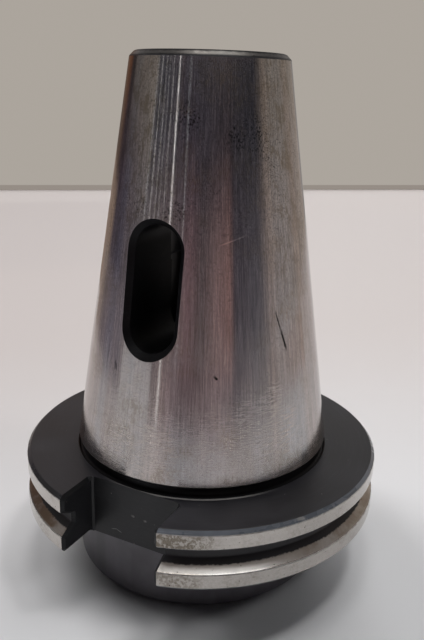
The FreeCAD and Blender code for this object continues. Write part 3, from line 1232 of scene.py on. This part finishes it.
@dataclass
class Adapter:
    """The whole piece of steel: a turned blank with its window and driving slots cut."""

    taper: SteepTaper = field(default_factory=SteepTaper)
    nose: Nose = field(default_factory=Nose)
    socket: MorseSocket = field(default_factory=MorseSocket)
    sharp_angle: float = 28.0

    def __post_init__(self) -> None:
        """Sets the features out from the taper."""
        self.flange = Flange(self.taper)
        self.knob_hole = KnobHole(self.taper)
        self.window = DriftWindow(self.taper)
        self.slots = DrivingSlots(self.flange, self.nose)

    def section(self) -> list[Corner]:
        """The turned section, closed through the bore."""
        return break_edges([
            *self.nose.corners(self.flange),
            *self.flange.rim(),
            *self.flange.relief(),
            *self.taper.corners(),
            *self.knob_hole.corners(self.socket.tang_radius),
            *self.socket.corners(),
        ])

    def build(self) -> bpy.types.Object:
        """Turns the blank and mills it."""
        blank = mesh_object(PIECE, turn_section(self.section()), finishes())
        cut(blank, self.window.cutter())
        for side in (-1, 1):
            cut(blank, self.slots.slot_cutter(side))
            for wall in (-1, 1):
                cut(blank, self.slots.bevel_cutter(side, wall))
        self.smooth(blank.data)
        return blank

    def smooth(self, mesh: bpy.types.Mesh) -> None:
        """
        Shades the turned surfaces as true surfaces of revolution, and the milled ones by angle.

        Args:
            mesh: The finished mesh.
        """
        mesh.shade_smooth()
        mesh.set_sharp_from_angle(angle=math.radians(self.sharp_angle))
        normals = [Vector((0, 0, 0))] * len(mesh.loops)
        for polygon in mesh.polygons:
            if not Finish(polygon.material_index).is_turned:
                continue
            facing = polygon.normal
            centre = polygon.center
            flat = math.hypot(facing.x, facing.y)
            if facing.x * centre.x + facing.y * centre.y < 0:
                flat = -flat
            for loop in polygon.loop_indices:
                place = mesh.vertices[mesh.loops[loop].vertex_index].co
                outwards = Vector((place.x, place.y, 0)).normalized()
                normals[loop] = Vector((outwards.x * flat, outwards.y * flat, facing.z)).normalized()
        mesh.normals_split_custom_set(normals)


# Studio


def glowing(name: str, tone: Colour) -> bpy.types.Material:
    """A material that glows evenly."""
    material, recipe = new_material(name)
    recipe.glow(tone)
    return material


Bands = tuple[tuple[float, Colour], ...]

# The tones that the steel mirrors round the room, each with the azimuth where it is true.
WALL_FOOT: Bands = (
    (-150, (0.15, 0.12, 0.105)), (-115, (0.14, 0.10, 0.08)), (-109, (0.07, 0.055, 0.065)),
    (-96, (0.075, 0.06, 0.08)), (-80, (0.14, 0.125, 0.16)), (-48, (0.25, 0.23, 0.245)),
    (-5, (0.26, 0.21, 0.22)), (10, (0.30, 0.18, 0.19)), (24, (0.16, 0.125, 0.13)),
    (40, (0.36, 0.245, 0.245)), (52, (0.36, 0.225, 0.215)), (58, (0.11, 0.10, 0.125)),
    (86, (0.16, 0.155, 0.18)), (102, (0.46, 0.405, 0.39)), (150, (0.46, 0.40, 0.36)),
    (185, (0.32, 0.30, 0.29)), (200, (0.42, 0.38, 0.35)),
)
WALL_MIDDLE: Bands = (
    (-150, (0.20, 0.16, 0.13)), (-120, (0.19, 0.082, 0.042)), (-109, (0.17, 0.078, 0.045)),
    (-104, (0.06, 0.048, 0.045)), (-97, (0.06, 0.052, 0.05)), (-91, (0.18, 0.16, 0.15)),
    (-47, (0.30, 0.275, 0.245)), (-43, (0.085, 0.092, 0.112)), (-12, (0.095, 0.095, 0.12)),
    (-7, (0.078, 0.068, 0.088)), (14, (0.076, 0.068, 0.088)), (52, (0.060, 0.056, 0.070)),
    (88, (0.048, 0.05, 0.064)), (95, (0.14, 0.13, 0.125)), (102, (0.31, 0.27, 0.235)),
    (150, (0.37, 0.33, 0.29)), (185, (0.26, 0.25, 0.24)), (200, (0.38, 0.36, 0.33)),
)
WALL_TOP: Bands = (
    (-150, (0.26, 0.25, 0.26)), (-144, (0.80, 0.74, 0.74)), (-134, (0.66, 0.60, 0.59)),
    (-110, (0.20, 0.17, 0.16)), (90, (0.12, 0.12, 0.13)), (120, (0.30, 0.27, 0.24)),
    (192, (0.42, 0.40, 0.39)), (198, (0.40, 0.38, 0.37)), (203, (0.16, 0.15, 0.16)),
)
LOW_FRONT: Bands = (
    (-20, (0.33, 0.30, 0.31)), (-14, (0.36, 0.31, 0.32)), (-2, (0.40, 0.30, 0.31)),
    (9, (0.23, 0.168, 0.173)), (21, (0.24, 0.175, 0.185)), (38, (0.38, 0.30, 0.315)),
    (54, (0.235, 0.215, 0.245)), (69, (0.32, 0.295, 0.315)), (85, (0.33, 0.31, 0.315)),
    (105, (0.54, 0.465, 0.44)), (122, (0.57, 0.46, 0.42)), (140, (0.54, 0.46, 0.42)),
)
LOW_LEFT: Bands = (
    (-116, (0.36, 0.29, 0.25)), (-104, (0.32, 0.265, 0.245)), (-96, (0.24, 0.205, 0.215)),
    (-80, (0.26, 0.23, 0.27)), (-60, (0.27, 0.25, 0.29)), (-53, (0.34, 0.31, 0.32)),
)
FAR_LEFT: Bands = (
    (-150, (0.30, 0.23, 0.19)), (-104, (0.32, 0.24, 0.195)), (-98, (0.12, 0.10, 0.12)),
    (-84, (0.11, 0.10, 0.13)),
)


def banded(recipe: Recipe, bands: Bands, turn: Signal) -> bpy.types.NodeSocket:
    """Bands of an azimuth and the tone there, as a colour over a turn from -180 to 180 degrees."""
    stops = sorted((((azimuth + 180) % 360) / 360, tone) for azimuth, tone in bands)
    return recipe.add("ShaderNodeValToRGB", {"stops": stops}, {0: turn}).outputs[0]


@dataclass(frozen=True)
class Board:
    """
    A glowing board, with the azimuths where it begins and ends. Its section is given as distances
    from the axis and heights. A board without a tone has its own material.
    """

    name: str
    azimuths: tuple[float, float]
    section: tuple[tuple[float, float], ...]
    tone: Colour | None = None


@dataclass(frozen=True)
class RoomRing:
    """
    The room as the steel mirrors it: a ring round the table, seen only in reflections. A band is an
    azimuth and the tone there. Each further row of bands takes over between two heights.
    """

    radius: float = 620.0
    low: float = -60.0
    high: float = 430.0
    lowest: Bands = WALL_FOOT
    further: tuple[tuple[float, float, Bands], ...] = (
        (90.0, 250.0, WALL_MIDDLE), (310.0, 370.0, WALL_TOP))
    name: str = "mirrored_walls"

    def board(self, azimuths: tuple[float, float]) -> Board:
        """The ring's board between two azimuths, as one upright wall."""
        return Board(self.name, azimuths, ((self.radius, self.low), (self.radius, self.high)))

    def make(self) -> bpy.types.Material:
        """Builds the ring's glowing material."""
        material, recipe = new_material(self.name)
        place = TurnedPlace(recipe)
        turn = place.azimuth() / 360 + 0.5
        tone = banded(recipe, self.lowest, turn)
        for begin, whole, bands in self.further:
            tone = recipe.blend(place.height.fade(begin, whole), tone, banded(recipe, bands, turn))
        recipe.glow(tone)
        return material


@dataclass(frozen=True)
class Lamp:
    """A distant soft lamp: its azimuth, lean off the vertical, spread and power."""

    name: str
    azimuth: float
    lean: float
    spread: float
    power: float

    def make(self) -> None:
        """Puts the lamp into the scene. Reflections show the room's boards in its place."""
        light = bpy.data.lights.new(self.name, "SUN")
        light.energy = self.power
        light.angle = math.radians(self.spread)
        holder = bpy.data.objects.new(self.name, light)
        holder.rotation_euler = away(self.azimuth, self.lean).to_track_quat("Z", "Y").to_euler()
        holder.visible_glossy = False
        bpy.context.scene.collection.objects.link(holder)


def away(azimuth: float, lean: float) -> Vector:
    """
    A direction away from the adapter.

    Args:
        azimuth: Its angle from -Y towards +X.
        lean: Its angle off the vertical.

    Returns:
        The direction, with a length of one.
    """
    turn, tilt = math.radians(azimuth), math.radians(lean)
    return Vector((math.sin(turn) * math.sin(tilt), -math.cos(turn) * math.sin(tilt),
                   math.cos(tilt)))


@dataclass
class Studio:
    """
    A pale table, soft lamps overhead and the room that the polished steel mirrors. A strip is an
    azimuth, a width in degrees and a brightness.
    """

    table_turn: float = 39.0
    table_back: float = 708.0
    table_size: float = 1500.0
    # The gap's glowing strip is painted shade.
    gap_height: float = 6.0
    gap_shadow_tone: Colour = (0.30, 0.265, 0.235)
    # The table is paler near the adapter than far off: painted light, which lightens the floor round the
    # adapter's shadows.
    near_colour: Colour = (0.635, 0.635, 0.648)
    far_colour: Colour = (0.555, 0.508, 0.496)
    colour_change: tuple[float, float] = (-40.0, 220.0)
    room: Colour = (0.41, 0.375, 0.335)
    dim_room: Colour = (0.014, 0.014, 0.015)
    lamps: tuple[Lamp, ...] = (
        Lamp("overhead", 208, 7, 12, 0.56),
        Lamp("behind_right", 140, 18, 10, 0.79),
        Lamp("left", 262, 46, 34, 1.67),
        Lamp("right", 90, 42, 10, 0.34),
        Lamp("behind_low", 196, 70, 34, 2.20),
    )
    arc_step: float = 3.0
    ceiling_height: float = 860.0
    ceiling_middle: float = 10.0
    ceiling_tone: Colour = (0.26, 0.25, 0.25)
    ceiling_lights: tuple[Board, ...] = (
        Board("ceiling_light", (20, 200), ((10, 815), (330, 815)), (1.5, 1.45, 1.38)),
        Board("ceiling_light_left", (200, 380), ((10, 815), (200, 815)), (2.5, 2.4, 2.3)),
        Board("ceiling_lamp", (35, 100), ((70, 800), (200, 800)), (2.3, 2.45, 2.55)),
        Board("ceiling_lamp_front", (-25, 110), ((190, 800), (340, 800)), (2.8, 2.9, 3.0)),
    )
    low_rings: tuple[RoomRing, ...] = (
        RoomRing(262.0, 0.5, 38.0, LOW_FRONT, (), "mirrored_front"),
        RoomRing(262.0, 0.5, 55.0, LOW_LEFT, (), "mirrored_left"),
        RoomRing(330.0, 0.5, 90.0, FAR_LEFT, (), "mirrored_far_left"),
    )
    low_strip: Board = Board("low_strip", (-12.2, -11.2), ((260, 0.5), (260, 60)), (1.45, 1.5, 1.5))
    strip_low: float = 20.0
    strip_inset: float = 5.0
    strip_tint: Colour = (0.95, 0.98, 1.0)
    strips: tuple[tuple[float, float, float], ...] = (
        (-13.2, 0.65, 3.4), (-21.6, 0.35, 1.3), (-27.6, 0.3, 1.1), (-32.6, 0.35, 1.4),
        (-39.2, 0.5, 1.3), (-46.0, 0.4, 1.3), (1.8, 0.3, 1.2),
    )

    def table(self) -> None:
        """The table top, with a glowing strip behind it as painted shade in the gap."""
        ahead = away(self.table_turn, 90)
        across = away(self.table_turn + 90, 90)
        half = self.table_size / 2
        corners = [(across * x + ahead * y) * MM for x, y in (
            (-half, self.table_size - self.table_back), (half, self.table_size - self.table_back),
            (half, -self.table_back), (-half, -self.table_back))]
        form = bmesh.new()
        form.faces.new([form.verts.new(corner) for corner in corners])
        material, recipe = new_material("table")
        place = TurnedPlace(recipe)
        clouds = recipe.noise(place.solid, 0.009, 3.0)
        # Paler near the adapter and darker far off: painted light.
        depth = place.x * -ahead.x + place.y * -ahead.y + clouds * 60
        colour = recipe.blend(depth.fade(*self.colour_change), self.near_colour, self.far_colour)
        recipe.surface(Base_Color=colour, Roughness=0.45, Specular_IOR_Level=0.14)
        top = mesh_object("table_top", form, [material])
        if top.data.polygons[0].normal.z < 0:
            top.data.flip_normals()

        # A strip that glows dark along the table's back edge: painted shade in the gap behind the table.
        form = bmesh.new()
        rise = Vector((0, 0, self.gap_height * MM))
        right, left = corners[2:]
        form.faces.new([form.verts.new(corner) for corner in (right, left, left + rise, right + rise)])
        mesh_object("painted_gap_shadow", form, [glowing("painted_gap_shadow", self.gap_shadow_tone)])

    def hang(self, board: Board, material: bpy.types.Material | None = None) -> None:
        """
        Hangs a curved board round the table, which only reflections see.

        Args:
            board: The board.
            material: What it glows with, where it has no tone.
        """
        form = bmesh.new()
        first, last = board.azimuths
        steps = max(1, round((last - first) / self.arc_step))
        columns = []
        for step in range(steps + 1):
            outwards = away(first + (last - first) * step / steps, 90)
            columns.append([form.verts.new((outwards * distance + Vector((0, 0, height))) * MM)
                            for distance, height in board.section])
        for column, following in zip(columns, columns[1:]):
            join(form, column, following, closed=False)
        hung = mesh_object(board.name, form, [material or glowing(board.name, board.tone)])
        hung.visible_camera = False
        hung.visible_diffuse = False
        hung.visible_shadow = False

    def mirrored_room(self) -> None:
        """What the steel mirrors: walls all round, a ceiling with its lights, and narrow strips."""
        walls = RoomRing()
        whole_turn = (-180, 180)
        self.hang(walls.board(whole_turn), walls.make())
        top = self.ceiling_height
        ceiling = ((walls.radius, walls.high), (walls.radius, top), (self.ceiling_middle, top))
        self.hang(Board("ceiling", whole_turn, ceiling, self.ceiling_tone))
        for light in self.ceiling_lights:
            self.hang(light)
        for ring in self.low_rings:
            self.hang(ring.board((ring.lowest[0][0], ring.lowest[-1][0])), ring.make())
        self.hang(self.low_strip)
        away_by = walls.radius - self.strip_inset
        section = ((away_by, self.strip_low), (away_by, walls.high))
        for number, (azimuth, width, level) in enumerate(self.strips):
            self.hang(Board(f"strip_{number}", (azimuth - width / 2, azimuth + width / 2), section,
                            tuple(part * level for part in self.strip_tint)))

    def light(self) -> None:
        """The room's own light and the lamps."""
        world = bpy.data.worlds.new("room")
        bpy.context.scene.world = world
        recipe = Recipe(world)
        path = recipe.add("ShaderNodeLightPath").outputs
        seen = Signal(recipe, path["Is Camera Ray"])
        for kind in ("Is Glossy Ray", "Is Transmission Ray"):
            seen = seen.apply("MAXIMUM", Signal(recipe, path[kind]))
        tone = recipe.blend(seen, self.dim_room, self.room)
        room = recipe.add("ShaderNodeBackground", None, {"Color": tone})
        recipe.add("ShaderNodeOutputWorld", None, {"Surface": room.outputs[0]})
        for lamp in self.lamps:
            lamp.make()


@dataclass
class PhotoCamera:
    """The camera that took the photograph, as its lines place it."""

    place: tuple[float, float, float] = (89.643, -168.594, 129.275)
    heading: float = 28.0
    yaw: float = 1.801
    pitch: float = -16.35
    roll: float = 1.757
    focal_pixels: float = 724.216
    centre: tuple[float, float] = (227.384, 295.828)
    image: tuple[float, float] = (424.0, 640.0)
    sensor: float = 36.0

    def build(self) -> None:
        """Makes the camera and hands it to the scene."""
        width, height = self.image
        longest = max(self.image)
        lens = bpy.data.cameras.new("photo_camera")
        lens.sensor_width = self.sensor
        lens.lens = self.focal_pixels * self.sensor / longest
        lens.shift_x = (width / 2 - self.centre[0]) / longest
        lens.shift_y = (self.centre[1] - height / 2) / longest
        lens.clip_start = 5 * MM
        holder = bpy.data.objects.new("photo_camera", lens)
        holder.location = Vector(self.place) * MM
        holder.rotation_mode = "QUATERNION"
        holder.rotation_quaternion = self.aim()
        bpy.context.scene.collection.objects.link(holder)
        bpy.context.scene.camera = holder

    def aim(self) -> Quaternion:
        """The camera's turn: pitched down, rolled, and headed at the adapter."""
        heading = Quaternion((0, 0, 1), math.radians(self.heading - self.yaw))
        pitch = Quaternion((1, 0, 0), math.radians(90 + self.pitch))
        roll = Quaternion((0, 0, 1), math.radians(self.roll))
        return heading @ pitch @ roll


def main() -> None:
    """Builds the camera, the adapter and the studio, in that order."""
    logging.basicConfig(level=logging.INFO, format="%(name)s: %(message)s")
    bpy.context.scene.view_settings.view_transform = "Standard"
    PhotoCamera().build()
    steel = Adapter().build()
    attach(steel, BODY)
    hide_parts(NODE)
    log.info("%s: %d faces, %d corners", steel.name, len(steel.data.polygons),
             len(steel.data.vertices))
    studio = Studio()
    studio.table()
    studio.mirrored_room()
    studio.light()


if __name__ == "__main__":
    main()
